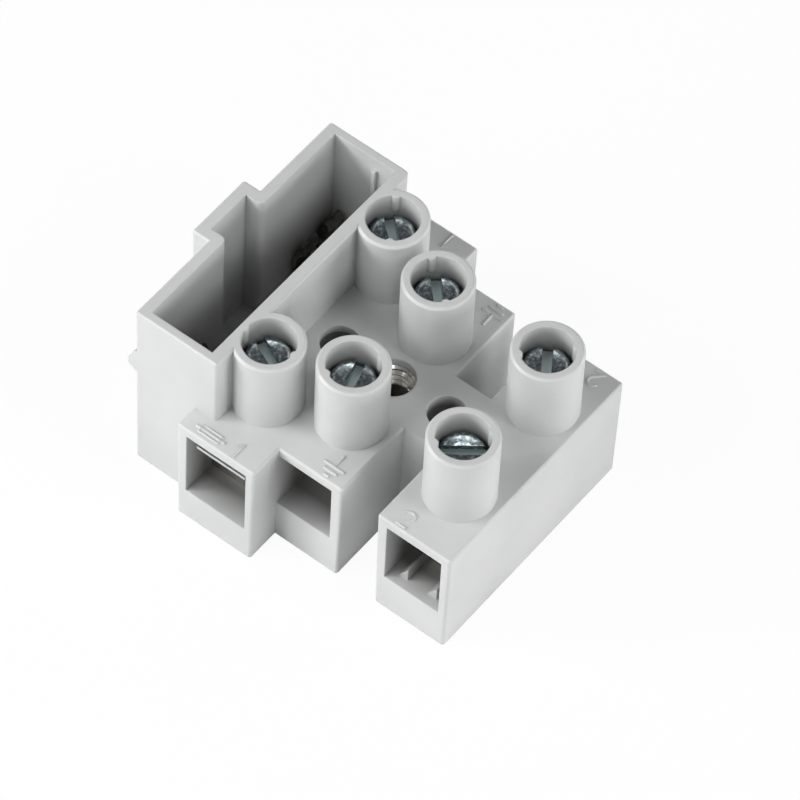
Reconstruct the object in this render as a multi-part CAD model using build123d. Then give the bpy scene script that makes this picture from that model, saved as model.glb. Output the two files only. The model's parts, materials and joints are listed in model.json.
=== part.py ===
from build123d import *
import os
from dataclasses import dataclass

# Fused three-pole terminal block, in millimetres, +Z up.
# The origin is the middle of the two mounting holes, on the base. +X runs across the poles,
# from the fuse chamber (-X) past the fuse and earth poles to the neutral pole (+X).
# Wires enter at the front (-Y) and at the rear (+Y), and both halves are alike.

# Heights of the moulding
block_height = 11.7
rim_rise = 7.5
roof_thickness = 0.9

# Wire entries and the plastic walls beside them
fuse_entry_width = 6.0
fuse_entry_height = 7.35
earth_entry_width = 5.4
earth_entry_height = 6.5
neutral_entry_width = 5.4
neutral_entry_height = 6.75
side_wall = 1.0
last_wall = 0.85
fuse_pole_right_wall = 0.8
entry_partition = 0.7
pole_notch = 3.55

# Lengths of the poles from end to end, how far back their metal starts from each mouth,
# and the web that joins the neutral pole
fuse_pole_length = 28.9
short_pole_length = 22.5
fuse_mouth_depth = 3.29
short_mouth_depth = 3.65
web_width = 6.55

# Draft and edge breaks of the moulding
side_draft = 0.15
edge_radius = 0.25
edge_break = 0.15
chamber_corner_radius = 0.8
recess_corner_radius = 0.5

# Screw towers
tower_diameter = 6.0
tower_bore = 4.5
tower_edge_break = 0.2
tower_seat_height = 1.1
guide_hole = 3.4
bore_rib_width = 0.8
bore_rib_depth = 0.22
bore_rib_length = 1.7

# Fuse chamber with its finger recess and the two hooks that hold a cover
chamber_width = 6.1
chamber_end_room = 1.55
chamber_outer_wall = 1.05
chamber_inner_wall = 1.1
chamber_end_wall = 0.8
chamber_pad = 0.15
chamber_pad_end = 3.2
chamber_pad_ramp = 0.5
end_rib_width = 0.4
end_rib_depth = 0.3
end_rib_below_rim = 1.3
end_rib_offset = 1.13
clamp_reveal = 0.15
recess_depth = 1.6
recess_width = 4.4
recess_wall = 1.1
hook_reach = 0.7
hook_width = 1.6
hook_top_below_rim = 5.1
hook_ramp_height = 1.4
hook_nose_height = 0.8
hook_foot_height = 0.4

# Holes to fasten the block
mounting_pitch = 10.84
mounting_hole = 3.3
earth_roof_hole = 3.73
earth_thread = 3.5
earth_thread_chamfer = 0.25
earth_floor_hole = 3.9

# Retaining wedges on the floor of the neutral entries
wedge_width = 0.9
wedge_height = 1.4
wedge_spacing = 2.88
wedge_offset = -1.48
wedge_setback = 0.9

# Clamping metal: two short clamps, two long bars
bar_side_wall = 0.7
bar_floor = 0.8
bar_roof = 2.4
clamp_length = 6.6
bar_screw_inset = 2.21
fit_clearance = 0.05
thread_clearance = 0.03

# Terminal screws
screw_diameter = 3.0
screw_head = 3.7
screw_head_height = 2.0
screw_head_edge = 0.25
head_below_rim = 1.8
slot_width = 0.8
slot_depth = 0.9

# Wire guard leaves under the screws
leaf_thickness = 0.3
leaf_gap = 0.1
leaf_side_gap = 0.1
leaf_tail = 2.2
leaf_front_gap = 0.15
leaf_rise = 1.8
leaf_joggle = 0.6
leaf_bend = 0.2
head_side_gap = 0.3
tongue_width = 1.75
tongue_reach = 0.9
fuse_head_setback = 0.25
short_head_setback = 1.65

# Fuse clips for cartridge fuses 20 mm long with caps 5.2 mm wide
fuse_length = 20.0
fuse_cap = 5.2
clip_grip = 0.1
clip_sheet = 0.4
fuse_axis_height = 7.6
clip_throat_angle = 52
clip_flare = 0.75
clip_flare_angle = 65
clip_base_width = 2.8
inner_finger_inset = 3.8
inner_finger_width = 1.9
outer_finger_inset = 0.75
outer_finger_width = 1.9
contact_tab_width = 0.8
contact_tab_height = 2.8

# Angles seen from above: the ribs in each tower's bore, and each screw's slot
rib_angles = {
    ("fuse", "front"): 5,
    ("earth", "front"): 60,
    ("neutral", "front"): 53,
    ("fuse", "rear"): 122,
    ("earth", "rear"): 142,
    ("neutral", "rear"): 48,
}
slot_angles = {
    ("fuse", "front"): -24.7,
    ("earth", "front"): -74.3,
    ("neutral", "front"): 38.0,
    ("fuse", "rear"): -40.6,
    ("earth", "rear"): -46.0,
    ("neutral", "rear"): -56.6,
}

# Places that follow from the sizes above
rim_z = block_height + rim_rise
entry_roof_z = block_height - roof_thickness
overcut = 1.0

earth_entry_left = -earth_entry_width / 2
earth_entry_right = earth_entry_width / 2
earth_pole_right = earth_entry_right + side_wall
fuse_entry_right = earth_entry_left - entry_partition
fuse_entry_left = fuse_entry_right - fuse_entry_width
fuse_pole_left = fuse_entry_left - side_wall
fuse_pole_right = fuse_entry_right + fuse_pole_right_wall
neutral_pole_left = earth_pole_right + pole_notch
neutral_entry_left = neutral_pole_left + side_wall
neutral_entry_right = neutral_entry_left + neutral_entry_width
neutral_pole_right = neutral_entry_right + last_wall

fuse_pole_end = fuse_pole_length / 2
short_pole_end = short_pole_length / 2

chamber_right = fuse_entry_left + clamp_reveal
chamber_left = chamber_right - chamber_width
chamber_end = fuse_length / 2 + chamber_end_room
recess_left = chamber_left - recess_depth

bar_end = short_pole_end - short_mouth_depth
bar_screw_y = bar_end - bar_screw_inset
clamp_outer_end = fuse_pole_end - fuse_mouth_depth
clamp_inner_end = clamp_outer_end - clamp_length
clamp_screw_y = (clamp_inner_end + clamp_outer_end) / 2
bar_top_z = entry_roof_z - fit_clearance
leaf_top_z = bar_top_z - bar_roof - leaf_gap
screw_head_top_z = rim_z - head_below_rim

clip_inner_radius = fuse_cap / 2 - clip_grip
clip_outer_radius = clip_inner_radius + clip_sheet
clip_middle_radius = clip_inner_radius + clip_sheet / 2
fuse_axis_x = (chamber_left + chamber_right) / 2
chamber_floor_z = fuse_axis_height - clip_outer_radius
inner_finger_y = fuse_length / 2 - inner_finger_inset
outer_finger_y = fuse_length / 2 - outer_finger_inset


@dataclass(frozen=True)
class Pole:
    """One pole: its wire entries, its towers and the metal inside."""

    name: str
    entry_left: float
    entry_width: float
    entry_height: float
    axis_x: float
    end_y: float
    tower_y: float
    metal_inner_y: float
    metal_outer_y: float
    head_setback: float

    @property
    def entry_right(self):
        return self.entry_left + self.entry_width

    @property
    def floor_z(self):
        return entry_roof_z - self.entry_height


fuse_pole = Pole("fuse", fuse_entry_left, fuse_entry_width, fuse_entry_height,
                 (fuse_pole_left + fuse_pole_right) / 2, fuse_pole_end, clamp_screw_y,
                 clamp_inner_end, clamp_outer_end, fuse_head_setback)
earth_pole = Pole("earth", earth_entry_left, earth_entry_width, earth_entry_height,
                  0, short_pole_end, bar_screw_y, 0, bar_end, short_head_setback)
neutral_pole = Pole("neutral", neutral_entry_left, neutral_entry_width, neutral_entry_height,
                    (neutral_pole_left + neutral_pole_right) / 2, short_pole_end,
                    bar_screw_y, 0, bar_end, short_head_setback)
poles = (fuse_pole, earth_pole, neutral_pole)
ends = {"front": -1, "rear": 1}


def span(x_range, y_range, z_range):
    """A box given by its two ends along each axis, in either order."""
    low = [min(r) for r in (x_range, y_range, z_range)]
    high = [max(r) for r in (x_range, y_range, z_range)]
    size = [b - a for a, b in zip(low, high)]
    return Pos(*low) * Box(*size, align=(Align.MIN, Align.MIN, Align.MIN))


def upright(x, y, diameter, z_low, z_high):
    """A vertical cylinder between two heights."""
    rod = Cylinder(diameter / 2, z_high - z_low, align=(Align.CENTER, Align.CENTER, Align.MIN))
    return Pos(x, y, z_low) * rod


def prism_along_y(points, y_low, y_high):
    """An outline of (x, z) points, extruded from one y to another."""
    outline = Plane.XZ * make_face(Polyline(*points, close=True))
    return extrude(Pos(0, y_low, 0) * outline, y_high - y_low, dir=(0, 1, 0))


def moulded_block(left, right, end_y, top_z, left_draft=side_draft, right_draft=side_draft):
    """A block with rounded corners and a broken top edge, whose sides lean in to the base."""
    points = [(left + left_draft, 0), (right - right_draft, 0), (right, top_z), (left, top_z)]
    block = prism_along_y(points, -end_y, end_y)
    corners = block.edges() - block.edges().filter_by(Axis.X) - block.edges().filter_by(Axis.Y)
    block = fillet(corners, edge_radius)
    top = block.faces().sort_by(Axis.Z)[-1]
    return chamfer(top.edges(), edge_break)


def chamber_shell():
    """The outside of the fuse chamber with its finger recess and its cover hooks."""
    outer_left = chamber_left - chamber_outer_wall
    outer_end = chamber_end + chamber_end_wall
    outer_right = chamber_right + chamber_inner_wall
    shell = moulded_block(outer_left, outer_right, outer_end, rim_z, right_draft=0)
    corner_x = outer_right - chamber_corner_radius
    corner_y = outer_end - chamber_corner_radius
    corner = span((corner_x, outer_right + overcut), (corner_y, outer_end + overcut),
                  (block_height, rim_z + overcut))
    shell -= corner - upright(corner_x, corner_y, 2 * chamber_corner_radius,
                              block_height, rim_z + overcut)
    pad_right = outer_right + chamber_pad
    pad_points = [(outer_right, -clamp_screw_y), (pad_right, -clamp_screw_y),
                  (pad_right, -chamber_pad_end), (outer_right, chamber_pad_ramp - chamber_pad_end)]
    pad = Pos(0, 0, entry_roof_z) * make_face(Polyline(*pad_points, close=True))
    shell += extrude(pad, rim_z - edge_break - entry_roof_z, dir=(0, 0, 1))
    shell += moulded_block(recess_left - recess_wall, chamber_left,
                           recess_width / 2 + recess_wall, rim_z, right_draft=0)
    hook_top = rim_z - hook_top_below_rim
    nose_top = hook_top - hook_ramp_height
    nose_foot = nose_top - hook_nose_height
    nose_x = outer_left - hook_reach
    points = [(chamber_left, hook_top), (outer_left, hook_top), (nose_x, nose_top),
              (nose_x, nose_foot), (outer_left, nose_foot - hook_foot_height),
              (chamber_left, nose_foot - hook_foot_height)]
    shell += prism_along_y(points, -outer_end, -outer_end + hook_width)
    shell += prism_along_y(points, outer_end - hook_width, outer_end)
    return shell


def chamber_hollow():
    """The space for the fuse, open at the rim, with the finger recess beside it."""
    z_range = (chamber_floor_z, rim_z + overcut)
    hollow = span((chamber_left, chamber_right), (-chamber_end, chamber_end), z_range)
    hollow += span((recess_left, chamber_left), (-recess_width / 2, recess_width / 2), z_range)
    by_distance = hollow.edges().filter_by(Axis.Z).sort_by_distance((chamber_left, 0, rim_z))
    hollow = fillet(by_distance[:2], recess_corner_radius)
    rib_x = fuse_axis_x + end_rib_offset
    hollow -= span((rib_x - end_rib_width / 2, rib_x + end_rib_width / 2),
                   (chamber_end - end_rib_depth, chamber_end),
                   (chamber_floor_z, rim_z - end_rib_below_rim))
    return hollow


def bore_ribs(x, y, angle):
    """Two half-round ribs in a tower's bore, which keep the screw from falling out."""
    rib_radius = bore_rib_width / 2
    centre_radius = tower_bore / 2 + rib_radius - bore_rib_depth
    rib_foot = rim_z - bore_rib_length
    ribs = []
    for turn in (0, 180):
        place = Pos(x, y, 0) * Rot(0, 0, angle + turn) * Pos(centre_radius, 0, 0)
        ribs.append(place * upright(0, 0, bore_rib_width, rib_foot, rim_z))
    return ribs


def wedges(side):
    """Two wedges on the neutral entry's floor, which stop the bar from sliding out."""
    middle = neutral_entry_left + neutral_entry_width / 2
    floor = neutral_pole.floor_z
    y_range = sorted((side * (bar_end + fit_clearance), side * (short_pole_end - wedge_setback)))
    found = []
    for shift in (wedge_offset, wedge_offset + wedge_spacing):
        left = middle + shift - wedge_width / 2
        points = [(left, floor - roof_thickness), (left, floor),
                  (left + wedge_width, floor + wedge_height),
                  (left + wedge_width, floor - roof_thickness)]
        found.append(prism_along_y(points, *y_range))
    return found


def make_housing():
    """The one-piece moulding of all three poles and the fuse chamber."""
    body = moulded_block(fuse_pole_left, fuse_pole_right, fuse_pole_end, block_height)
    body += moulded_block(fuse_entry_right - fuse_pole_right_wall, earth_pole_right,
                          short_pole_end, block_height, left_draft=0)
    body += moulded_block(neutral_pole_left, neutral_pole_right, short_pole_end, block_height)
    body += span((0, neutral_pole.axis_x), (-web_width / 2, web_width / 2), (0, block_height))
    body += chamber_shell()
    for pole in poles:
        for side in ends.values():
            tower = upright(pole.axis_x, side * pole.tower_y, tower_diameter,
                            entry_roof_z, rim_z)
            body += chamfer(tower.edges().group_by(Axis.Z)[-1], tower_edge_break)

    for pole in poles:
        for side in ends.values():
            y = side * pole.tower_y
            bore_floor = block_height + tower_seat_height
            body -= upright(pole.axis_x, y, tower_bore, bore_floor, rim_z + overcut)
            body -= upright(pole.axis_x, y, guide_hole, entry_roof_z - overcut, rim_z)
            mouth = side * (pole.end_y + overcut)
            inner = side * max(pole.metal_inner_y - fit_clearance, 0)
            body -= span((pole.entry_left, pole.entry_right), (inner, mouth),
                         (pole.floor_z, entry_roof_z))
    for pole in poles:
        for end, side in ends.items():
            body += bore_ribs(pole.axis_x, side * pole.tower_y, rib_angles[pole.name, end])
    body -= chamber_hollow()
    for side in ends.values():
        body += wedges(side)

    for x in (-mounting_pitch / 2, mounting_pitch / 2):
        body -= upright(x, 0, mounting_hole, -overcut, block_height + overcut)
    body -= upright(0, 0, earth_roof_hole, entry_roof_z - overcut, block_height + overcut)
    body -= upright(0, 0, earth_floor_hole, -overcut, earth_pole.floor_z + overcut)
    return body


def channel_range(pole):
    """Left and right faces of the wire channel in a pole's metal."""
    return (pole.entry_left + fit_clearance + bar_side_wall,
            pole.entry_right - fit_clearance - bar_side_wall)


def clamp_block(pole, y_range, screw_ys):
    """A brass tube of rectangular section with a threaded hole for each screw."""
    outer = span((pole.entry_left + fit_clearance, pole.entry_right - fit_clearance),
                 y_range, (pole.floor_z, bar_top_z))
    channel_y = (min(y_range) - overcut, max(y_range) + overcut)
    block = outer - span(channel_range(pole), channel_y,
                         (pole.floor_z + bar_floor, bar_top_z - bar_roof))
    for y in screw_ys:
        hole = screw_diameter + 2 * thread_clearance
        block -= upright(pole.axis_x, y, hole, bar_top_z - bar_roof - overcut,
                         bar_top_z + overcut)
    return block


def make_bar(pole):
    """The bar that joins the front and the rear terminal of one pole."""
    return clamp_block(pole, (-bar_end, bar_end), (-pole.tower_y, pole.tower_y))


def make_earth_bar():
    """The earth pole's bar, with a thread in the middle that earths a metal base."""
    bar = make_bar(earth_pole)
    bar -= upright(0, 0, earth_thread, bar_top_z - bar_roof - overcut, bar_top_z + overcut)
    chamfer_cone = Cone(earth_thread / 2, earth_thread / 2 + earth_thread_chamfer,
                        earth_thread_chamfer, align=(Align.CENTER, Align.CENTER, Align.MAX))
    bar -= Pos(0, 0, bar_top_z) * chamfer_cone
    bar -= upright(0, 0, earth_floor_hole, earth_pole.floor_z - overcut,
                   earth_pole.floor_z + bar_floor + overcut)
    return bar


def make_fuse_clamp(side):
    """One of the fuse pole's two clamps, which only a fuse connects."""
    y_range = (side * clamp_inner_end, side * clamp_outer_end)
    return clamp_block(fuse_pole, y_range, (side * fuse_pole.tower_y,))


def make_screw(pole, end):
    """A slotted screw with a flat end, drawn without its thread."""
    head_foot = screw_head_top_z - screw_head_height
    head = upright(0, 0, screw_head, head_foot, screw_head_top_z)
    screw = chamfer(head.edges().group_by(Axis.Z)[-1], screw_head_edge)
    screw += upright(0, 0, screw_diameter, leaf_top_z, head_foot)
    slot = span((-screw_head, screw_head), (-slot_width / 2, slot_width / 2),
                (screw_head_top_z - slot_depth, screw_head_top_z + overcut))
    screw -= Rot(0, 0, slot_angles[pole.name, end]) * slot
    return Pos(pole.axis_x, ends[end] * pole.tower_y, 0) * screw


def make_leaf(pole, side):
    """The leaf between screw and wire, with a wider head and a tongue in front of the metal."""
    middle_z = leaf_top_z - leaf_thickness / 2
    joggle_start = pole.metal_outer_y + leaf_front_gap
    joggle_end = joggle_start + leaf_joggle
    head_end = pole.end_y - pole.head_setback
    tail_y = pole.tower_y - leaf_tail
    path = FilletPolyline((tail_y, middle_z), (joggle_start, middle_z),
                          (joggle_end, middle_z + leaf_rise),
                          (head_end, middle_z + leaf_rise), radius=leaf_bend)
    profile = Plane.YZ * trace(path, leaf_thickness)
    channel_left, channel_right = channel_range(pole)
    stem_x = (channel_left + leaf_side_gap, channel_right - leaf_side_gap)
    head_x = (pole.entry_left + head_side_gap, pole.entry_right - head_side_gap)
    strip = Pos(stem_x[0], 0, 0) * extrude(profile, stem_x[1] - stem_x[0], dir=(1, 0, 0))
    head = Pos(head_x[0], 0, 0) * extrude(profile, head_x[1] - head_x[0], dir=(1, 0, 0))
    head &= span(head_x, (joggle_end, head_end), (middle_z, entry_roof_z))
    head -= span((head_x[0], head_x[1] - tongue_width), (head_end - tongue_reach, head_end),
                 (middle_z, entry_roof_z))
    leaf = strip + head
    return leaf if side > 0 else mirror(leaf, Plane.XZ)


def make_clip(side):
    """A fuse clip bent from one strip: two pairs of fingers on a common base."""
    flare_x = clip_flare * cos_deg(clip_flare_angle)
    flare_z = clip_flare * sin_deg(clip_flare_angle)
    throat_x = clip_middle_radius * cos_deg(clip_throat_angle)
    throat_z = clip_middle_radius * sin_deg(clip_throat_angle)
    hug = CenterArc((0, 0), clip_middle_radius, 180 - clip_throat_angle,
                    180 + 2 * clip_throat_angle)
    profile = trace(hug, clip_sheet)
    for mirror_sign in (-1, 1):
        throat = (mirror_sign * throat_x, throat_z)
        tip = (mirror_sign * (throat_x + flare_x), throat_z + flare_z)
        profile += trace(Line(throat, tip), clip_sheet)
        profile += Pos(*throat) * Circle(clip_sheet / 2)
    section = Pos(fuse_axis_x, 0, fuse_axis_height) * (Plane.XZ * profile)

    base_z = (chamber_floor_z, chamber_floor_z + clip_sheet)
    base_x = (fuse_axis_x - clip_base_width / 2, fuse_axis_x + clip_base_width / 2)
    outer_end = outer_finger_y + outer_finger_width
    clip = span(base_x, (inner_finger_y, outer_end), base_z)
    fingers = ((inner_finger_y, inner_finger_width), (outer_finger_y, outer_finger_width))
    for start, width in fingers:
        clip += Pos(0, start, 0) * extrude(section, width, dir=(0, 1, 0))

    clamp_face = fuse_entry_left + fit_clearance
    inner_pair_end = inner_finger_y + inner_finger_width
    tab_middle = (inner_pair_end + outer_finger_y) / 2
    tab_y = (tab_middle - contact_tab_width / 2, tab_middle + contact_tab_width / 2)
    clip += span((fuse_axis_x, clamp_face), tab_y, base_z)
    clip += span((clamp_face - clip_sheet, clamp_face), tab_y,
                 (chamber_floor_z, chamber_floor_z + contact_tab_height))
    return clip if side > 0 else mirror(clip, Plane.XZ)


def cos_deg(angle):
    """Cosine of an angle in degrees."""
    return Vector(1, 0).rotate(Axis.Z, angle).X


def sin_deg(angle):
    """Sine of an angle in degrees."""
    return Vector(1, 0).rotate(Axis.Z, angle).Y


def make_parts():
    """Every sub-part under its own name."""
    made = {"housing": make_housing(), "earth_bar": make_earth_bar(),
            "neutral_bar": make_bar(neutral_pole)}
    for end, side in ends.items():
        made[f"fuse_clamp_{end}"] = make_fuse_clamp(side)
        made[f"fuse_clip_{end}"] = make_clip(side)
        for pole in poles:
            made[f"guard_leaf_{pole.name}_{end}"] = make_leaf(pole, side)
            made[f"terminal_screw_{pole.name}_{end}"] = make_screw(pole, end)
    return made


os.makedirs("parts", exist_ok=True)
for node, shape in make_parts().items():
    export_step(shape, f"parts/{node}.step")
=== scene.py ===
"""Looks of the fuse terminal block: its finishes, screws, threads, raised marks, light and camera."""

import json
import logging
import math
from dataclasses import dataclass, field
from enum import Enum
from typing import Iterable, Mapping, Sequence

import bmesh
import bpy
from mathutils import Matrix, Vector

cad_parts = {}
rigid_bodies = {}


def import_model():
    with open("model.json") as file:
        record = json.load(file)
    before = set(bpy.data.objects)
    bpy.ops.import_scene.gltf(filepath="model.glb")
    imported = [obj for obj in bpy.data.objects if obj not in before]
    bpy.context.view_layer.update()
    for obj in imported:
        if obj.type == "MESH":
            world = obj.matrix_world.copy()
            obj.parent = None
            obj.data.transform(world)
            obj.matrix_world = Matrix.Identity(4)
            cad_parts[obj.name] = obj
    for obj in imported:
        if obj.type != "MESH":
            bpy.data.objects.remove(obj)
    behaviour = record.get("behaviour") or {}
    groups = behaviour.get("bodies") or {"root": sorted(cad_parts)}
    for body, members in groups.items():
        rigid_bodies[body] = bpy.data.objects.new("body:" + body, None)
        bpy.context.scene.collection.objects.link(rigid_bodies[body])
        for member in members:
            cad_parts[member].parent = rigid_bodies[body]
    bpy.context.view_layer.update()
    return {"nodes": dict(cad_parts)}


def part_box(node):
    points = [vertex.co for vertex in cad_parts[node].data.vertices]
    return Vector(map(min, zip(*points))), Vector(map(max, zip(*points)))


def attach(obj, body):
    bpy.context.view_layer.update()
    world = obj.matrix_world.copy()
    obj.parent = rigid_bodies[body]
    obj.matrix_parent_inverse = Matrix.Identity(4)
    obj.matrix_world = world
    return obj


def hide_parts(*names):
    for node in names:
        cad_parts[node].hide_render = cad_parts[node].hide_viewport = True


LOG = logging.getLogger("terminal_block")

MM = 0.001

Colour = tuple[float, float, float]
Inputs = Mapping[int | str, object]
Settings = Mapping[str, object]


class End(Enum):
    """The two ends at which wires enter."""

    FRONT = "front"
    REAR = "rear"


class Pole(Enum):
    """The three poles, from the fuse chamber outwards."""

    FUSE = "fuse"
    EARTH = "earth"
    NEUTRAL = "neutral"


class Wire:
    """A shader value that takes part in Python arithmetic."""

    def __init__(self, book: "NodeBook", socket: bpy.types.NodeSocket) -> None:
        """Wraps one output socket.

        Args:
            book: The material that the socket belongs to.
            socket: The output socket.
        """
        self.book = book
        self.socket = socket

    def _math(self, operation: str, first: "Wire | float", second: "Wire | float") -> "Wire":
        """Adds one Math node.

        Args:
            operation: The Math node's operation.
            first: The first operand.
            second: The second operand.

        Returns:
            The node's output.
        """
        return self.book.node("ShaderNodeMath", {0: first, 1: second}, {"operation": operation})

    def __add__(self, other: "Wire | float") -> "Wire":
        """This value plus another."""
        return self._math("ADD", self, other)

    def __radd__(self, other: float) -> "Wire":
        """A number plus this value."""
        return self._math("ADD", other, self)

    def __sub__(self, other: "Wire | float") -> "Wire":
        """This value less another."""
        return self._math("SUBTRACT", self, other)

    def __rsub__(self, other: float) -> "Wire":
        """A number less this value."""
        return self._math("SUBTRACT", other, self)

    def __mul__(self, other: "Wire | float") -> "Wire":
        """This value times another."""
        return self._math("MULTIPLY", self, other)

    def __rmul__(self, other: float) -> "Wire":
        """A number times this value."""
        return self._math("MULTIPLY", other, self)

    def __truediv__(self, other: "Wire | float") -> "Wire":
        """This value divided by another."""
        return self._math("DIVIDE", self, other)

    def __rtruediv__(self, other: float) -> "Wire":
        """A number divided by this value."""
        return self._math("DIVIDE", other, self)

    def __abs__(self) -> "Wire":
        """This value without its sign."""
        return self.book.node("ShaderNodeMath", {0: self}, {"operation": "ABSOLUTE"})


class NodeBook:
    """The nodes of a material or a world, which are added one by one."""

    def __init__(self, owner: bpy.types.Material | bpy.types.World) -> None:
        """Empties the owner's nodes.

        Args:
            owner: The material or world that the nodes belong to.
        """
        self.owner = owner
        owner.use_nodes = True
        self.tree = owner.node_tree
        self.tree.nodes.clear()

    @classmethod
    def named(cls, name: str) -> "NodeBook":
        """Starts a new material with this name."""
        return cls(bpy.data.materials.new(name))

    def node(
        self,
        kind: str,
        inputs: Inputs | None = None,
        settings: Settings | None = None,
        output: int | str = 0,
    ) -> Wire:
        """Adds a node, sets it up and links it.

        Args:
            kind: The node's type, such as ShaderNodeMath.
            inputs: Values or Wires for the input sockets, by index or name.
            settings: Properties that are set before the inputs.
            output: The output socket that is returned.

        Returns:
            The chosen output socket.
        """
        added = self.tree.nodes.new(kind)
        for key, value in (settings or {}).items():
            setattr(added, key, value)
        for key, value in (inputs or {}).items():
            if isinstance(value, Wire):
                self.tree.links.new(value.socket, added.inputs[key])
            else:
                added.inputs[key].default_value = value
        return Wire(self, added.outputs[output])

    def ramp(self, factor: Wire, start: float, stop: float) -> Wire:
        """Adds a colour ramp from black to white.

        Args:
            factor: The value that the ramp reads.
            start: The value up to which the ramp is black.
            stop: The value from which it is white.

        Returns:
            The ramp's colour.
        """
        made = self.node("ShaderNodeValToRGB", {0: factor})
        black, white = made.socket.node.color_ramp.elements
        black.position = start
        black.color = (0.0, 0.0, 0.0, 1.0)
        white.position = stop
        white.color = (1.0, 1.0, 1.0, 1.0)
        return made

    def place(self) -> Wire:
        """The point on the piece, in metres."""
        return self.node("ShaderNodeTexCoord", output="Object")

    def along(self, axis: str) -> Wire:
        """How far the point on the piece lies along X, Y or Z, in millimetres."""
        return self.node("ShaderNodeSeparateXYZ", {0: self.place()}, output=axis) / MM

    def ease(self, value: Wire, start: float, stop: float) -> Wire:
        """Goes from 0 to 1 between two values.

        Args:
            value: The value that is read.
            start: The value at 0.
            stop: The value at 1, which may be the smaller one.

        Returns:
            The share, from 0 to 1.
        """
        return self.node("ShaderNodeMapRange", {"Value": value, "From Min": start, "From Max": stop})

    def noise(self, scale_per_mm: float, detail: float, stretch: Sequence[float] = (1, 1, 1)) -> Wire:
        """A noise pattern.

        Args:
            scale_per_mm: How many grains there are to a millimetre.
            detail: The noise's detail.
            stretch: Scale along each axis.

        Returns:
            The noise, from 0 to 1.
        """
        mapped = self.node("ShaderNodeMapping", {"Vector": self.place(), "Scale": stretch})
        inputs: Inputs = {"Vector": mapped, "Scale": scale_per_mm / MM, "Detail": detail}
        return self.node("ShaderNodeTexNoise", inputs)

    def blend(self, factor: Wire, first: Wire | Colour, second: Colour) -> Wire:
        """Blends a colour into another.

        Args:
            factor: 0 for the first colour and 1 for the second one.
            first: The colour at 0.
            second: The colour at 1.

        Returns:
            The blended colour.
        """
        start = first if isinstance(first, Wire) else (*first, 1.0)
        # A Mix node has sockets of the same name for each kind of data, so these go by index.
        inputs: Inputs = {0: factor, 6: start, 7: (*second, 1.0)}
        return self.node("ShaderNodeMix", inputs, {"data_type": "RGBA"}, output=2)

    def bump(self, height: Wire, depth_mm: float, normal: Wire | None = None) -> Wire:
        """Turns a height into a normal.

        Args:
            height: The height pattern, from 0 to 1.
            depth_mm: How deep the pattern is.
            normal: A normal that the bump starts from.

        Returns:
            The bumped normal.
        """
        inputs: dict[int | str, object] = {"Height": height, "Distance": depth_mm * MM, "Strength": 1.0}
        if normal is not None:
            inputs["Normal"] = normal
        return self.node("ShaderNodeBump", inputs)

    def backdrop(self, mirrored: float) -> Wire:
        """How much of the white backdrop a ray sees, which for the rays that light things is none.

        Args:
            mirrored: The share that mirrored and refracted rays see, where the camera sees all.

        Returns:
            The share of white, from 0 to 1.
        """
        camera, glossy, through = (
            self.node("ShaderNodeLightPath", output=f"Is {kind} Ray")
            for kind in ("Camera", "Glossy", "Transmission")
        )
        return camera + mirrored * (glossy + through)

    def close(self, shader: Wire) -> bpy.types.Material | bpy.types.World:
        """Links a shader to the output.

        Args:
            shader: The shader that covers the surface or the sky.

        Returns:
            The finished material or world.
        """
        kind = "World" if isinstance(self.owner, bpy.types.World) else "Material"
        out = self.tree.nodes.new(f"ShaderNodeOutput{kind}")
        self.tree.links.new(shader.socket, out.inputs["Surface"])
        return self.owner

    def finish(self, surface: Inputs) -> bpy.types.Material:
        """Closes the material with a Principled shader that has these inputs."""
        return self.close(self.node("ShaderNodeBsdfPrincipled", surface))


@dataclass(frozen=True)
class EntryMouth:
    """A pole's wire entry, the same at both ends, of which the mouth is at the pole's end."""

    middle_mm: float
    width_mm: float
    floor_mm: float
    mouth_mm: float
    roof_mm: float = 10.8


@dataclass(frozen=True)
class BoreShade:
    """How painted shade darkens the plastic down an upright bore, from a shallow to a deep height."""

    wide_mm: float
    shallow_mm: float
    deep_mm: float
    share: float = 1.0


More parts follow.
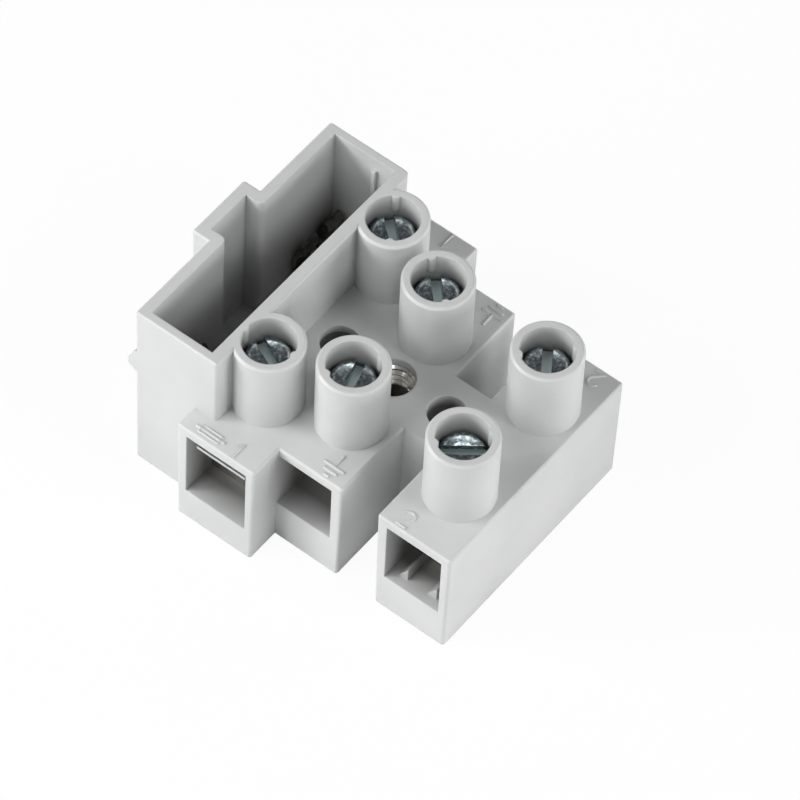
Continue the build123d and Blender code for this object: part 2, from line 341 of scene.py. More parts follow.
@dataclass(frozen=True)
class MouldedPlastic:
    """The satin, light grey plastic of the housing, with shade painted into its colour deep in its wire
    entries and bores.
    """

    name: str = "housing_plastic"
    dark: Colour = (0.545, 0.552, 0.552)
    light: Colour = (0.595, 0.600, 0.598)
    cloud_per_mm: float = 0.12
    cloud_detail: float = 3.0
    cloud_range: tuple[float, float] = (0.35, 0.65)
    grain_per_mm: float = 9.0
    grain_detail: float = 2.0
    grain_depth_mm: float = 0.0012
    ripple_per_mm: float = 0.45
    ripple_detail: float = 1.0
    ripple_depth_mm: float = 0.010
    edge_radius_mm: float = 0.18
    edge_samples: int = 6
    smooth: float = 0.36
    rough: float = 0.46
    subsurface: float = 0.06
    subsurface_mm: float = 0.6
    # Painted shade: the colour that is painted deep in the wire entries and bores, where little light
    # reaches.
    painted_shade_colour: Colour = (0.16, 0.16, 0.155)
    entries: tuple[EntryMouth, ...] = (
        EntryMouth(middle_mm=-6.4, width_mm=6.0, floor_mm=3.45, mouth_mm=14.45),
        EntryMouth(middle_mm=0.0, width_mm=5.4, floor_mm=4.30, mouth_mm=11.25),
        EntryMouth(middle_mm=10.95, width_mm=5.4, floor_mm=4.05, mouth_mm=11.25),
    )
    # How far inside its mouth the painted shade in an entry starts, and from where on it is full.
    entry_shade_fade_mm: tuple[float, float] = (0.15, 2.4)
    hole_pitch_mm: float = 10.84
    hole: BoreShade = BoreShade(wide_mm=3.3, shallow_mm=11.45, deep_mm=10.4)
    tower: BoreShade = BoreShade(wide_mm=4.5, shallow_mm=18.9, deep_mm=17.0, share=0.6)
    # The heights between which the painted shade in the bores fades out again towards the base.
    underside_mm: tuple[float, float] = (0.25, 1.3)
    # How far outside a wall the painted shade starts, and where it is full.
    shade_wall_fade_mm: tuple[float, float] = (0.10, 0.03)

    def _inside(self, book: NodeBook, offset: Wire, half_mm: float) -> Wire:
        """Whether a point lies between two walls, or in a round one.

        Args:
            book: The material's nodes.
            offset: How far the point is from the middle, in millimetres.
            half_mm: How far the walls are from the middle.

        Returns:
            0 outside and 1 inside.
        """
        outside, inside = self.shade_wall_fade_mm
        return book.ease(offset, half_mm + outside, half_mm + inside)

    def _bores(self) -> list[tuple[BoreShade, float, float]]:
        """Lists the two mounting holes, and the bores of the rear towers for both ends.

        Returns:
            Each bore with its place along X and Y, in millimetres.
        """
        half_pitch = self.hole_pitch_mm / 2
        found = [(self.hole, across, 0.0) for across in (-half_pitch, half_pitch)]
        for pole in Pole:
            low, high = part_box(f"terminal_screw_{pole.value}_{End.REAR.value}")
            middle = (low + high) / 2 / MM
            found.append((self.tower, middle.x, middle.y))
        return found

    def _painted_shade(self, book: NodeBook) -> Wire:
        """How much painted shade a point gets, deep in a wire entry or a bore.

        Args:
            book: The material's nodes.

        Returns:
            0 outside and 1 deep inside.
        """
        across, along, height = (book.along(axis) for axis in "XYZ")
        shade_shares = []
        for bore, middle_across, middle_along in self._bores():
            offset: Inputs = {0: across - middle_across, 1: abs(along) - middle_along}
            flat = book.node("ShaderNodeCombineXYZ", offset)
            radius = book.node("ShaderNodeVectorMath", {0: flat}, {"operation": "LENGTH"}, output="Value")
            shade_shares.append(
                bore.share
                * self._inside(book, radius, bore.wide_mm / 2)
                * book.ease(height, bore.shallow_mm, bore.deep_mm)
                * book.ease(height, *self.underside_mm)
            )
        near, far = self.entry_shade_fade_mm
        for entry in self.entries:
            middle = (entry.floor_mm + entry.roof_mm) / 2
            half = (entry.roof_mm - entry.floor_mm) / 2
            shade_shares.append(
                self._inside(book, abs(across - entry.middle_mm), entry.width_mm / 2)
                * self._inside(book, abs(height - middle), half)
                * book.ease(abs(along), entry.mouth_mm - near, entry.mouth_mm - far)
            )
        return sum(shade_shares)

    def build(self) -> bpy.types.Material:
        """Makes the material.

        Returns:
            The material.
        """
        book = NodeBook.named(self.name)
        cloud = book.ramp(book.noise(self.cloud_per_mm, self.cloud_detail), *self.cloud_range)
        grain = book.noise(self.grain_per_mm, self.grain_detail)
        ripple = book.noise(self.ripple_per_mm, self.ripple_detail)
        edge = book.node(
            "ShaderNodeBevel", {"Radius": self.edge_radius_mm * MM}, {"samples": self.edge_samples}
        )
        wavy = book.bump(ripple, self.ripple_depth_mm, edge)
        skin = book.blend(cloud, self.dark, self.light)
        return book.finish(
            {
                # Shade is painted into the base colour deep in the wire entries and bores.
                "Base Color": book.blend(self._painted_shade(book), skin, self.painted_shade_colour),
                "Roughness": self.smooth + (self.rough - self.smooth) * grain,
                "Normal": book.bump(grain, self.grain_depth_mm, wavy),
                "Subsurface Weight": self.subsurface,
                "Subsurface Scale": self.subsurface_mm * MM,
                "Subsurface Radius": (1.0, 1.0, 1.0),
            }
        )


@dataclass(frozen=True)
class Metal:
    """A metal with faint clouding and fine marks from tools or tumbling."""

    name: str
    dark: Colour
    light: Colour
    smooth: float
    rough: float
    cloud_per_mm: float = 1.2
    cloud_detail: float = 4.0
    cloud_range: tuple[float, float] = (0.3, 0.7)
    mark_per_mm: float = 9.0
    mark_detail: float = 3.0
    mark_stretch: tuple[float, float, float] = (1.0, 1.0, 1.0)
    mark_depth_mm: float = 0.0010

    def build(self) -> bpy.types.Material:
        """Makes the material.

        Returns:
            The material.
        """
        book = NodeBook.named(self.name)
        cloud = book.ramp(book.noise(self.cloud_per_mm, self.cloud_detail), *self.cloud_range)
        marks = book.noise(self.mark_per_mm, self.mark_detail, self.mark_stretch)
        return book.finish(
            {
                "Base Color": book.blend(cloud, self.dark, self.light),
                "Metallic": 1.0,
                "Roughness": self.smooth + (self.rough - self.smooth) * marks,
                "Normal": book.bump(marks, self.mark_depth_mm),
            }
        )


@dataclass(frozen=True)
class ZincScrew:
    """Blue zinc plate: a cloudy mirror on the head and a duller slot."""

    name: str = "screw_steel"
    dark: Colour = (0.20, 0.24, 0.26)
    light: Colour = (0.70, 0.76, 0.77)
    slot_colour: Colour = (0.62, 0.70, 0.70)
    top_mm: float = 17.4
    slot_from_mm: float = 0.45
    slot_blend_mm: float = 0.10
    rough: float = 0.12
    rough_spread: float = 0.14
    slot_rough: float = 0.50
    cloud_per_mm: float = 3.0
    cloud_detail: float = 4.0
    cloud_range: tuple[float, float] = (0.44, 0.72)
    mark_per_mm: float = 6.0
    mark_detail: float = 3.0
    mark_depth_mm: float = 0.0025

    def build(self) -> bpy.types.Material:
        """Makes the material.

        Returns:
            The material.
        """
        book = NodeBook.named(self.name)
        slot_top = self.top_mm - self.slot_from_mm
        slot = book.ease(book.along("Z"), slot_top, slot_top - self.slot_blend_mm)
        cloud = book.ramp(book.noise(self.cloud_per_mm, self.cloud_detail), *self.cloud_range)
        marks = book.noise(self.mark_per_mm, self.mark_detail)
        skin = book.blend(cloud, self.dark, self.light)
        polish = self.rough + self.rough_spread * marks
        return book.finish(
            {
                "Base Color": book.blend(slot, skin, self.slot_colour),
                "Metallic": 1.0,
                "Roughness": polish + slot * (self.slot_rough - self.rough),
                "Normal": book.bump(marks, self.mark_depth_mm),
            }
        )


class Finish(Enum):
    """The finishes, one for each material slot of the record."""

    PLASTIC = MouldedPlastic()
    NICKEL = Metal(
        name="brass",
        dark=(0.60, 0.57, 0.52),
        light=(0.82, 0.79, 0.74),
        smooth=0.07,
        rough=0.20,
        mark_stretch=(1.0, 0.1, 1.0),
    )
    CLIP = Metal(
        name="clip_metal",
        dark=(0.16, 0.155, 0.14),
        light=(0.30, 0.29, 0.27),
        smooth=0.30,
        rough=0.48,
    )
    LEAF = Metal(
        name="leaf_steel",
        dark=(0.62, 0.63, 0.63),
        light=(0.76, 0.77, 0.77),
        smooth=0.16,
        rough=0.28,
        mark_stretch=(1.0, 0.15, 1.0),
    )
    ZINC = ZincScrew()


class Paintbox:
    """Makes each finish once and gives it to pieces."""

    def __init__(self) -> None:
        """Builds all finishes."""
        self.made: dict[Finish, bpy.types.Material] = {finish: finish.value.build() for finish in Finish}

    def dress(self, piece: bpy.types.Object, finish: Finish) -> None:
        """Gives a piece one finish.

        Args:
            piece: A mesh object.
            finish: The finish for all its faces.
        """
        piece.data.materials.clear()
        piece.data.materials.append(self.made[finish])
        LOG.info("%s dressed in %s", piece.name, finish.value.name)

    def material(self, finish: Finish) -> bpy.types.Material:
        """The material of a finish."""
        return self.made[finish]


def new_object(name: str, data: bpy.types.ID) -> bpy.types.Object:
    """Links a mesh, curve, lamp or camera into the scene as an object at the origin.

    Args:
        name: The object's name.
        data: What it holds.

    Returns:
        The new object.
    """
    made = bpy.data.objects.new(name, data)
    bpy.context.scene.collection.objects.link(made)
    return made


def mesh_of(name: str, shell: bmesh.types.BMesh) -> bpy.types.Mesh:
    """Turns a BMesh into a mesh.

    Args:
        name: The mesh's name.
        shell: The BMesh, which is freed.

    Returns:
        The new mesh.
    """
    mesh = bpy.data.meshes.new(name)
    shell.to_mesh(mesh)
    shell.free()
    return mesh


def in_fixed_order(mesh: bpy.types.Mesh) -> bpy.types.Mesh:
    """Sorts a mesh's points and faces by place, because a spin leaves them in another order each run.

    Args:
        mesh: The mesh, which is changed.

    Returns:
        The same mesh.
    """
    points = [tuple(point.co) for point in mesh.vertices]
    order = sorted(range(len(points)), key=points.__getitem__)
    rank = {old: new for new, old in enumerate(order)}
    faces = []
    for face in mesh.polygons:
        corners = [rank[corner] for corner in face.vertices]
        first = corners.index(min(corners))
        faces.append(corners[first:] + corners[:first])
    mesh.clear_geometry()
    mesh.from_pydata([points[old] for old in order], [], sorted(faces))
    return mesh


def evaluated_mesh(shaped: bpy.types.Object) -> bpy.types.Mesh:
    """Makes a plain mesh of a curve or of a piece with modifiers.

    Args:
        shaped: The object, which stays as it is.

    Returns:
        The new mesh.
    """
    bpy.context.view_layer.update()
    graph = bpy.context.evaluated_depsgraph_get()
    return bpy.data.meshes.new_from_object(shaped.evaluated_get(graph))


def baked(piece: bpy.types.Object) -> bpy.types.Object:
    """Turns a piece with modifiers into a plain mesh.

    Args:
        piece: The object whose modifiers are applied and removed.

    Returns:
        The same object.
    """
    mesh = evaluated_mesh(piece)
    piece.modifiers.clear()
    old = piece.data
    piece.data = mesh
    mesh.name = piece.name
    bpy.data.meshes.remove(old)
    return piece


def shade_by_angle(mesh: bpy.types.Mesh, limit_deg: float) -> None:
    """Smooths a mesh except over sharp edges.

    Args:
        mesh: The mesh.
        limit_deg: Edges that bend more than this stay sharp.
    """
    shell = bmesh.new()
    shell.from_mesh(mesh)
    limit = math.radians(limit_deg)
    for face in shell.faces:
        face.smooth = True
    for edge in shell.edges:
        edge.smooth = len(edge.link_faces) == 2 and edge.calc_face_angle(0.0) < limit
    shell.to_mesh(mesh)
    shell.free()


def direction(azimuth_deg: float, elevation_deg: float) -> Vector:
    """The way from the block to a place around it.

    Args:
        azimuth_deg: The angle from the front, towards the right.
        elevation_deg: The angle above the base.

    Returns:
        A vector of length 1.
    """
    turn = math.radians(azimuth_deg)
    tilt = math.radians(elevation_deg)
    return Vector((math.sin(turn) * math.cos(tilt), -math.cos(turn) * math.cos(tilt), math.sin(tilt)))


@dataclass(frozen=True)
class ThreadSizes:
    """A screw thread, of which the ridge's foot and crest are as wide as a share of the pitch.

    The ridge stands out from the radius, or inwards where its height is negative.
    """

    radius_mm: float
    ridge_mm: float
    pitch_mm: float
    foot: float
    crest: float
    length_mm: float
    low_mm: float

    def inputs(self) -> dict[str, float]:
        """Puts the sizes in metres and turns.

        Returns:
            The inputs of the Geometry Nodes tree by name.
        """
        return {
            "Radius": self.radius_mm * MM,
            "Ridge": self.ridge_mm * MM,
            "Foot": self.foot * self.pitch_mm * MM,
            "Crest": self.crest * self.pitch_mm * MM,
            "Height": self.length_mm * MM,
            "Turns": self.length_mm / self.pitch_mm,
            "Low": self.low_mm * MM,
        }


class ThreadTree:
    """A Geometry Nodes tree that winds one screw thread as a helical ridge."""

    STEPS_PER_TURN = 40
    SIZES = ("Radius", "Ridge", "Foot", "Crest", "Height", "Turns", "Low")

    def __init__(self) -> None:
        """Builds the tree with named inputs for its sizes."""
        self.group = bpy.data.node_groups.new("screw_thread", "GeometryNodeTree")
        face = self.group.interface
        self.ids: dict[str, str] = {}
        for label in self.SIZES:
            socket = face.new_socket(label, in_out="INPUT", socket_type="NodeSocketFloat")
            self.ids[label] = socket.identifier
        finish = face.new_socket("Finish", in_out="INPUT", socket_type="NodeSocketMaterial")
        self.ids["Finish"] = finish.identifier
        face.new_socket("Geometry", in_out="OUTPUT", socket_type="NodeSocketGeometry")
        self._wire()

    def _add(
        self, kind: str, inputs: Inputs | None = None, settings: Settings | None = None
    ) -> bpy.types.Node:
        """Adds one node to the tree.

        Args:
            kind: The node's type.
            inputs: Values, or output sockets to link.
            settings: Properties set before the inputs.

        Returns:
            The new node.
        """
        node = self.group.nodes.new(kind)
        for key, value in (settings or {}).items():
            setattr(node, key, value)
        for key, value in (inputs or {}).items():
            if isinstance(value, bpy.types.NodeSocket):
                self.group.links.new(value, node.inputs[key])
            else:
                node.inputs[key].default_value = value
        return node

    def _times(self, value: bpy.types.NodeSocket, factor: float) -> bpy.types.NodeSocket:
        """A value times a number."""
        return self._add("ShaderNodeMath", {0: value, 1: factor}, {"operation": "MULTIPLY"}).outputs[0]

    def _path(self, given: bpy.types.NodeOutputs) -> bpy.types.NodeSocket:
        """The spiral that the ridge follows.

        Args:
            given: The tree's inputs.

        Returns:
            A curve at its height.
        """
        spiral = self._add(
            "GeometryNodeCurveSpiral",
            {
                "Resolution": self.STEPS_PER_TURN,
                "Rotations": given["Turns"],
                "Start Radius": given["Radius"],
                "End Radius": given["Radius"],
                "Height": given["Height"],
            },
        )
        lift = self._add("ShaderNodeCombineXYZ", {"Z": given["Low"]})
        raised = self._add(
            "GeometryNodeTransform",
            {"Geometry": spiral.outputs["Curve"], "Translation": lift.outputs["Vector"]},
        )
        upright = self._add("GeometryNodeSetCurveNormal", {"Curve": raised.outputs[0]}, {"mode": "Z_UP"})
        return upright.outputs[0]

    def _section(self, given: bpy.types.NodeOutputs) -> bpy.types.NodeSocket:
        """The ridge's section, which has four corners.

        Args:
            given: The tree's inputs.

        Returns:
            A closed curve.
        """
        half_foot = self._times(given["Foot"], 0.5)
        half_crest = self._times(given["Crest"], 0.5)
        # The section's X axis points at the spiral's axis, so an outward ridge is negative there.
        outward = self._times(given["Ridge"], -1.0)
        corners = []
        for on_crest, half_width, sign in (
            (False, half_foot, -1.0),
            (True, half_crest, -1.0),
            (True, half_crest, 1.0),
            (False, half_foot, 1.0),
        ):
            corner = self._add("ShaderNodeCombineXYZ", {"Y": self._times(half_width, sign)})
            if on_crest:
                self.group.links.new(outward, corner.inputs["X"])
            corners.append(corner.outputs["Vector"])
        points = {f"Point {index + 1}": corner for index, corner in enumerate(corners)}
        section = self._add("GeometryNodeCurvePrimitiveQuadrilateral", points, {"mode": "POINTS"})
        return section.outputs[0]

    def _wire(self) -> None:
        """Sweeps the section along the path, and gives the ridge its material."""
        given = self._add("NodeGroupInput").outputs
        swept = self._add(
            "GeometryNodeCurveToMesh",
            {"Curve": self._path(given), "Profile Curve": self._section(given), "Fill Caps": True},
        )
        plain = self._add("GeometryNodeRealizeInstances", {"Geometry": swept.outputs[0]})
        dressed = self._add(
            "GeometryNodeSetMaterial", {"Geometry": plain.outputs[0], "Material": given["Finish"]}
        )
        out = self._add("NodeGroupOutput")
        self.group.links.new(dressed.outputs[0], out.inputs[0])

    def wind(self, name: str, sizes: ThreadSizes, finish: bpy.types.Material) -> bpy.types.Object:
        """Winds one thread.

        Args:
            name: The piece's name.
            sizes: The thread's sizes.
            finish: The thread's material.

        Returns:
            A plain mesh object.
        """
        piece = new_object(name, bpy.data.meshes.new(name))
        modifier = piece.modifiers.new("thread", "NODES")
        modifier.node_group = self.group
        for label, value in sizes.inputs().items():
            modifier[self.ids[label]] = value
        modifier[self.ids["Finish"]] = finish
        return baked(piece)


@dataclass
class PhotoCamera:
    """The camera of the photograph, for a square frame of 800 pixels."""

    azimuth_deg: float = 35.376
    elevation_deg: float = 54.277
    roll_deg: float = 3.380
    distance_mm: float = 539.974
    shift_right_mm: float = 0.933
    shift_up_mm: float = 5.019
    focal_px: float = 6674.3
    frame_px: int = 800
    sensor_mm: float = 36.0
    nearest_mm: float = 10.0

    def build(self) -> None:
        """Places the camera and makes it the scene's own."""
        turn = math.radians(self.azimuth_deg)
        roll = math.radians(self.roll_deg)
        back = direction(self.azimuth_deg, self.elevation_deg)
        level = Vector((math.cos(turn), math.sin(turn), 0.0))
        rise = back.cross(level)
        right = level * math.cos(roll) + rise * math.sin(roll)
        up = rise * math.cos(roll) - level * math.sin(roll)
        spot = back * self.distance_mm + right * self.shift_right_mm + up * self.shift_up_mm
        axes = Matrix((right, up, back)).transposed()
        data = bpy.data.cameras.new("photo_camera")
        data.sensor_width = self.sensor_mm
        data.lens = self.focal_px / self.frame_px * self.sensor_mm
        data.clip_start = self.nearest_mm * MM
        camera = new_object("photo_camera", data)
        camera.matrix_world = Matrix.Translation(spot * MM) @ axes.to_4x4()
        bpy.context.scene.camera = camera


@dataclass(frozen=True)
class Softbox:
    """A large soft lamp that points at the block."""

    name: str
    azimuth_deg: float
    elevation_deg: float
    power_w: float
    size_mm: float = 170.0
    distance_mm: float = 420.0

    def build(self) -> None:
        """Places the lamp."""
        away = direction(self.azimuth_deg, self.elevation_deg)
        data = bpy.data.lights.new(self.name, "AREA")
        data.shape = "DISK"
        data.size = self.size_mm * MM
        data.energy = self.power_w
        lamp = new_object(self.name, data)
        lamp.rotation_euler = away.to_track_quat("Z", "Y").to_euler()
        lamp.location = away * self.distance_mm * MM


@dataclass
class Studio:
    """The pale floor, the sky and the lamps."""

    floor_mm: float = 1600.0
    floor_colour: Colour = (0.86, 0.86, 0.86)
    floor_glow: float = 0.94
    sky: float = 0.03
    mirrored: float = 0.15
    lamps: tuple[Softbox, ...] = (
        Softbox("left_front_softbox", -50.0, 28.0, 1.08),
        Softbox("front_low_softbox", -24.0, 16.0, 0.44),
        Softbox("front_high_softbox", -18.0, 50.0, 0.42),
        Softbox("right_front_softbox", 38.0, 32.0, 0.22),
        Softbox("right_high_softbox", 98.0, 46.0, 0.46),
        Softbox("right_low_softbox", 98.0, 12.0, 0.62),
        Softbox("right_rear_low_softbox", 140.0, 12.0, 0.45),
        Softbox("left_rear_low_softbox", -140.0, 12.0, 0.30),
        Softbox("left_rear_high_softbox", -145.0, 70.0, 0.08, size_mm=110.0),
    )

    def build(self) -> None:
        """Makes the whole studio."""
        self._floor()
        self._sky()
        for lamp in self.lamps:
            lamp.build()

    def _floor(self) -> None:
        """A flat floor at the block's base, white to the camera apart from its shadow."""
        mesh = bpy.data.meshes.new("floor")
        half = self.floor_mm / 2 * MM
        corners = [(-half, -half, 0.0), (half, -half, 0.0), (half, half, 0.0), (-half, half, 0.0)]
        mesh.from_pydata(corners, [], [(0, 1, 2, 3)])
        floor = new_object("floor", mesh)
        book = NodeBook.named("floor_card")
        card = book.node("ShaderNodeBsdfDiffuse", {"Color": (*self.floor_colour, 1.0)})
        glow = book.node("ShaderNodeEmission", {"Color": (1.0, 1.0, 1.0, 1.0), "Strength": 1.0})
        share = book.backdrop(self.mirrored) * self.floor_glow
        mix = book.node("ShaderNodeMixShader", {0: share, 1: card, 2: glow})
        mesh.materials.append(book.close(mix))

    def _sky(self) -> None:
        """A dim, even sky that is white behind the block and in its reflections."""
        world = bpy.data.worlds.new("studio")
        bpy.context.scene.world = world
        book = NodeBook(world)
        strength = self.sky + (1.0 - self.sky) * book.backdrop(self.mirrored)
        book.close(book.node("ShaderNodeBackground", {"Strength": strength}))


@dataclass
class TerminalScrews:
    """The six slotted screws, each on its own body."""

    head_mm: float = 3.8
    head_height_mm: float = 2.0
    head_chamfer_mm: float = 0.08
    # The crowned head's outline: how far in from its rim and how far below its top each point is.
    crown: tuple[tuple[float, float], ...] = (
        (0.0, 0.40), (0.04, 0.26), (0.11, 0.14), (0.20, 0.06), (0.30, 0.015), (0.40, 0.0),
        (0.54, 0.014), (0.74, 0.034), (1.0, 0.05),
    )
    neck_mm: float = 0.5
    neck_relief_mm: float = 0.05
    core_mm: float = 2.4
    point_mm: float = 0.4
    thread_mm: float = 3.0
    pitch_mm: float = 0.5
    # The thread's foot and crest are shares of its pitch, and its foot is rooted in the core.
    foot: float = 0.8
    crest: float = 0.08
    rooted_mm: float = 0.02
    slot_width_mm: float = 0.82
    slot_depth_mm: float = 0.95
    edge_mm: float = 0.035
    edge_segments: int = 2
    edge_from_deg: float = 40.0
    smooth_to_deg: float = 32.0
    facets: int = 72
    weld_mm: float = 0.0001
    slot_angles_deg: Mapping[tuple[Pole, End], float] = field(
        default_factory=lambda: {
            (Pole.FUSE, End.FRONT): -24.7,
            (Pole.EARTH, End.FRONT): -74.3,
            (Pole.NEUTRAL, End.FRONT): 38.0,
            (Pole.FUSE, End.REAR): -40.6,
            (Pole.EARTH, End.REAR): -46.0,
            (Pole.NEUTRAL, End.REAR): -56.6,
        }
    )

    def _turned(self, length_mm: float) -> bpy.types.Object:
        """Turns the screw without its thread and slot, with its point at z = 0.

        Args:
            length_mm: The screw's whole length.

        Returns:
            The turned piece, centred on the Z axis.
        """
        head = self.head_mm / 2
        core = self.core_mm / 2
        neck = self.thread_mm / 2 - self.neck_relief_mm
        shoulder = length_mm - self.head_height_mm
        outline = [
            (0.0, 0.0),
            (core - self.point_mm, 0.0),
            (core, self.point_mm),
            (core, shoulder - self.neck_mm),
            (neck, shoulder - self.neck_mm / 2),
            (neck, shoulder),
            (head - self.head_chamfer_mm, shoulder),
            (head, shoulder + self.head_chamfer_mm),
            *((head - inward, length_mm - drop) for inward, drop in self.crown),
            (0.0, length_mm - self.crown[-1][1]),
        ]
        shell = bmesh.new()
        points = [shell.verts.new((x * MM, 0.0, z * MM)) for x, z in outline]
        edges = [shell.edges.new(pair) for pair in zip(points, points[1:])]
        bmesh.ops.spin(
            shell,
            geom=points + edges,
            axis=(0, 0, 1),
            cent=(0, 0, 0),
            angle=math.tau,
            steps=self.facets,
            use_duplicate=False,
        )
        bmesh.ops.remove_doubles(shell, verts=shell.verts, dist=self.weld_mm * MM)
        bmesh.ops.recalc_face_normals(shell, faces=shell.faces)
        return new_object("screw_blank", in_fixed_order(mesh_of("screw_blank", shell)))

    def _slot_cutter(self, length_mm: float) -> bpy.types.Object:
        """The bar that cuts the slot.

        Args:
            length_mm: The height of the head's top.

        Returns:
            A box object.
        """
        shell = bmesh.new()
        bmesh.ops.create_cube(shell, size=1.0)
        size = Vector((2 * self.head_mm, self.slot_width_mm, 2 * self.slot_depth_mm)) * MM
        bmesh.ops.scale(shell, vec=size, verts=shell.verts)
        bmesh.ops.translate(shell, vec=(0, 0, length_mm * MM), verts=shell.verts)
        return new_object("slot_cutter", mesh_of("slot_cutter", shell))

    def _blank(self, length_mm: float) -> bpy.types.Object:
        """Makes the screw without its thread, with its point at z = 0.

        Args:
            length_mm: The screw's whole length.

        Returns:
            The blank with its slot and softened edges, centred on the Z axis.
        """
        blank = self._turned(length_mm)
        cutter = self._slot_cutter(length_mm)
        cut = blank.modifiers.new("slot", "BOOLEAN")
        cut.operation = "DIFFERENCE"
        cut.solver = "EXACT"
        cut.object = cutter
        soften = blank.modifiers.new("edges", "BEVEL")
        soften.width = self.edge_mm * MM
        soften.segments = self.edge_segments
        soften.limit_method = "ANGLE"
        soften.angle_limit = math.radians(self.edge_from_deg)
        baked(blank)
        bpy.data.objects.remove(cutter)
        return blank

    def _thread(self, length_mm: float, paint: Paintbox, threads: ThreadTree) -> bpy.types.Object:
        """Winds the thread between the screw's point and its neck.

        Args:
            length_mm: The screw's whole length.
            paint: The finishes.
            threads: The thread tree.

        Returns:
            The thread, centred on the Z axis.
        """
        sizes = ThreadSizes(
            radius_mm=self.core_mm / 2 - self.rooted_mm,
            ridge_mm=(self.thread_mm - self.core_mm) / 2,
            pitch_mm=self.pitch_mm,
            foot=self.foot,
            crest=self.crest,
            length_mm=length_mm - self.head_height_mm - self.neck_mm - self.point_mm,
            low_mm=self.point_mm,
        )
        return threads.wind("screw_thread", sizes, paint.material(Finish.ZINC))

    def build(self, paint: Paintbox, threads: ThreadTree) -> None:
        """Makes the six screws in their places.

        Args:
            paint: The finishes.
            threads: The thread tree.
        """
        low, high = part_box("terminal_screw_fuse_front")
        length = (high.z - low.z) / MM
        blank = self._blank(length)
        thread = self._thread(length, paint, threads)
        for (pole, end), angle in self.slot_angles_deg.items():
            node = f"terminal_screw_{pole.value}_{end.value}"
            low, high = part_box(node)
            middle = (low + high) / 2
            shell = bmesh.new()
            shell.from_mesh(blank.data)
            shell.from_mesh(thread.data)
            turn = Matrix.Rotation(math.radians(angle), 4, "Z")
            shift = Matrix.Translation((middle.x, middle.y, low.z))
            bmesh.ops.transform(shell, matrix=shift @ turn, verts=shell.verts)
            mesh = mesh_of(f"screw_{pole.value}_{end.value}", shell)
            screw = new_object(mesh.name, mesh)
            paint.dress(screw, Finish.ZINC)
            shade_by_angle(mesh, self.smooth_to_deg)
            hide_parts(node)
            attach(screw, f"screw_{pole.value}_{end.value}")
            LOG.info("%s stands for %s", screw.name, node)
        bpy.data.objects.remove(blank)
        bpy.data.objects.remove(thread)


@dataclass
class EarthThread:
    """The thread of the tapped hole in the roof of the earth bar."""

    hole_mm: float = 3.5
    ridge_mm: float = 0.3
    pitch_mm: float = 0.6
    # The thread's foot and crest are shares of its pitch, and its foot is rooted in the wall.
    foot: float = 0.92
    crest: float = 0.16
    rooted_mm: float = 0.02
    # The roof's thickness, and what of it the thread leaves free below and above.
    roof_mm: float = 2.4
    clear_below_mm: float = 0.1
    clear_above_mm: float = 0.3
    smooth_to_deg: float = 40.0

    def build(self, paint: Paintbox, threads: ThreadTree) -> None:
        """Winds the thread into the bar's roof.

        Args:
            paint: The finishes.
            threads: The thread tree.
        """
        roof_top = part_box("earth_bar")[1].z / MM
        sizes = ThreadSizes(
            radius_mm=self.hole_mm / 2 + self.rooted_mm,
            ridge_mm=-self.ridge_mm,
            pitch_mm=self.pitch_mm,
            foot=self.foot,
            crest=self.crest,
            length_mm=self.roof_mm - self.clear_below_mm - self.clear_above_mm,
            low_mm=roof_top - self.roof_mm + self.clear_below_mm,
        )
        thread = threads.wind("earth_thread", sizes, paint.material(Finish.NICKEL))
        shade_by_angle(thread.data, self.smooth_to_deg)
        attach(thread, "block")
        LOG.info("%s wound in the earth bar", thread.name)


@dataclass(frozen=True)
class Stroke:
    """One line of a sign, in millimetres from the sign's middle."""

    points: tuple[tuple[float, float], ...]
    closed: bool = False


def arc(
    centre: tuple[float, float], radius: float, start_deg: float, end_deg: float, steps: int = 12
) -> tuple[tuple[float, float], ...]:
    """Points along an arc.

    Args:
        centre: The arc's centre.
        radius: Its radius.
        start_deg: Where it starts.
        end_deg: Where it ends.
        steps: How many chords it has.

    Returns:
        The points.
    """
    angles = [math.radians(start_deg + (end_deg - start_deg) * i / steps) for i in range(steps + 1)]
    return tuple((centre[0] + radius * math.cos(a), centre[1] + radius * math.sin(a)) for a in angles)


class Sign(Enum):
    """Generic signs that are moulded on the poles."""

    ONE = (Stroke(((-0.28, 0.42), (0.06, 0.75), (0.06, -0.75))),)
    TWO = (Stroke((*arc((0.0, 0.30), 0.45, 165.0, -35.0), (-0.45, -0.75), (0.50, -0.75))),)
    FUSE = (
        Stroke(((-0.95, -0.36), (0.95, -0.36), (0.95, 0.36), (-0.95, 0.36)), closed=True),
        Stroke(((-1.45, 0.0), (1.45, 0.0))),
    )
    EARTH = (
        Stroke(((0.0, 1.30), (0.0, 0.0))),
        Stroke(((-1.0, 0.0), (1.0, 0.0))),
        Stroke(((-0.68, -0.52), (0.68, -0.52))),
        Stroke(((-0.28, -1.02), (0.28, -1.02))),
    )


@dataclass(frozen=True)
class Mark:
    """A sign at a place on the poles' top."""

    name: str
    sign: Sign
    x_mm: float
    y_mm: float
    turn_deg: float = 0.0


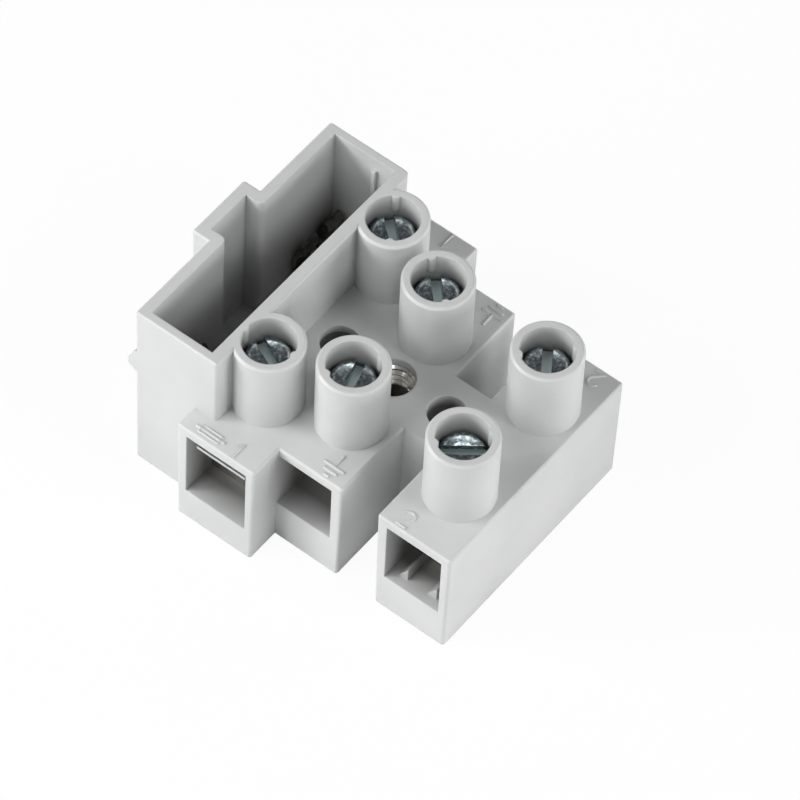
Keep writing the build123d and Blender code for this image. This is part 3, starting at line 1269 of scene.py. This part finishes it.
@dataclass
class MouldedMarks:
    """Thin raised lines on the poles' top, each a half-sunk round bead."""

    bead_mm: float = 0.16
    bead_resolution: int = 3
    sunk_mm: float = 0.04
    top_above_bar_mm: float = 0.95
    smooth_to_deg: float = 50.0
    marks: tuple[Mark, ...] = (
        Mark("mark_fuse_front", Sign.FUSE, -7.7, -13.55),
        Mark("mark_one_front", Sign.ONE, -5.0, -13.45),
        Mark("mark_earth_front", Sign.EARTH, 1.8, -9.80),
        Mark("mark_two_front", Sign.TWO, 9.3, -10.10),
        Mark("mark_one_rear", Sign.ONE, -5.0, 13.45, 180.0),
        Mark("mark_earth_rear", Sign.EARTH, 2.3, 9.90, 180.0),
        Mark("mark_two_rear", Sign.TWO, 12.5, 10.10, 180.0),
    )

    def _height(self) -> float:
        """Height of the beads' middle line, in metres."""
        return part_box("earth_bar")[1].z + self.top_above_bar_mm * MM - self.sunk_mm * MM

    def _bead(self, mark: Mark) -> bpy.types.Mesh:
        """Draws one mark as round beads.

        Args:
            mark: The sign and its place.

        Returns:
            The beads as a mesh.
        """
        curve = bpy.data.curves.new(mark.name, "CURVE")
        curve.dimensions = "3D"
        curve.bevel_depth = self.bead_mm * MM
        curve.bevel_resolution = self.bead_resolution
        curve.use_fill_caps = True
        turn = math.radians(mark.turn_deg)
        height = self._height()
        for stroke in mark.sign.value:
            spline = curve.splines.new("POLY")
            spline.points.add(len(stroke.points) - 1)
            spline.use_cyclic_u = stroke.closed
            for point, (x, y) in zip(spline.points, stroke.points):
                across = mark.x_mm + x * math.cos(turn) - y * math.sin(turn)
                along = mark.y_mm + x * math.sin(turn) + y * math.cos(turn)
                point.co = (across * MM, along * MM, height, 1.0)
        drawn = new_object(mark.name + "_line", curve)
        mesh = evaluated_mesh(drawn)
        bpy.data.objects.remove(drawn)
        mesh.name = mark.name
        return mesh

    def build(self, paint: Paintbox) -> None:
        """Forms all marks.

        Args:
            paint: The finishes.
        """
        for mark in self.marks:
            piece = new_object(mark.name, self._bead(mark))
            paint.dress(piece, Finish.PLASTIC)
            shade_by_angle(piece.data, self.smooth_to_deg)
            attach(piece, "block")
            LOG.info("%s formed", mark.name)


@dataclass
class Housing:
    """The moulding, which keeps its solid and gets its finish."""

    node: str = "housing"
    finish: Finish = Finish.PLASTIC

    def build(self, nodes: Mapping[str, bpy.types.Object], paint: Paintbox) -> None:
        """Dresses the housing, which is one of the nodes."""
        paint.dress(nodes[self.node], self.finish)


@dataclass
class Metalwork:
    """The bars, clamps, clips and leaves, which keep their solids and get their finishes."""

    finishes: Mapping[str, Finish] = field(
        default_factory=lambda: {
            "earth_bar": Finish.NICKEL,
            "neutral_bar": Finish.NICKEL,
            "fuse_clamp": Finish.NICKEL,
            "fuse_clip": Finish.CLIP,
            "guard_leaf": Finish.LEAF,
        }
    )

    def build(self, nodes: Mapping[str, bpy.types.Object], paint: Paintbox) -> None:
        """Dresses every metal node but the screws.

        Args:
            nodes: The block's nodes by name.
            paint: The finishes.
        """
        for name, node in nodes.items():
            for start, finish in self.finishes.items():
                if name.startswith(start):
                    paint.dress(node, finish)


def main() -> None:
    """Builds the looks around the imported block."""
    logging.basicConfig(level=logging.INFO)
    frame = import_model()
    bpy.context.scene.view_settings.view_transform = "Standard"
    paint = Paintbox()
    threads = ThreadTree()
    Housing().build(frame["nodes"], paint)
    Metalwork().build(frame["nodes"], paint)
    TerminalScrews().build(paint, threads)
    EarthThread().build(paint, threads)
    MouldedMarks().build(paint)
    Studio().build()
    PhotoCamera().build()


if __name__ == "__main__":
    main()
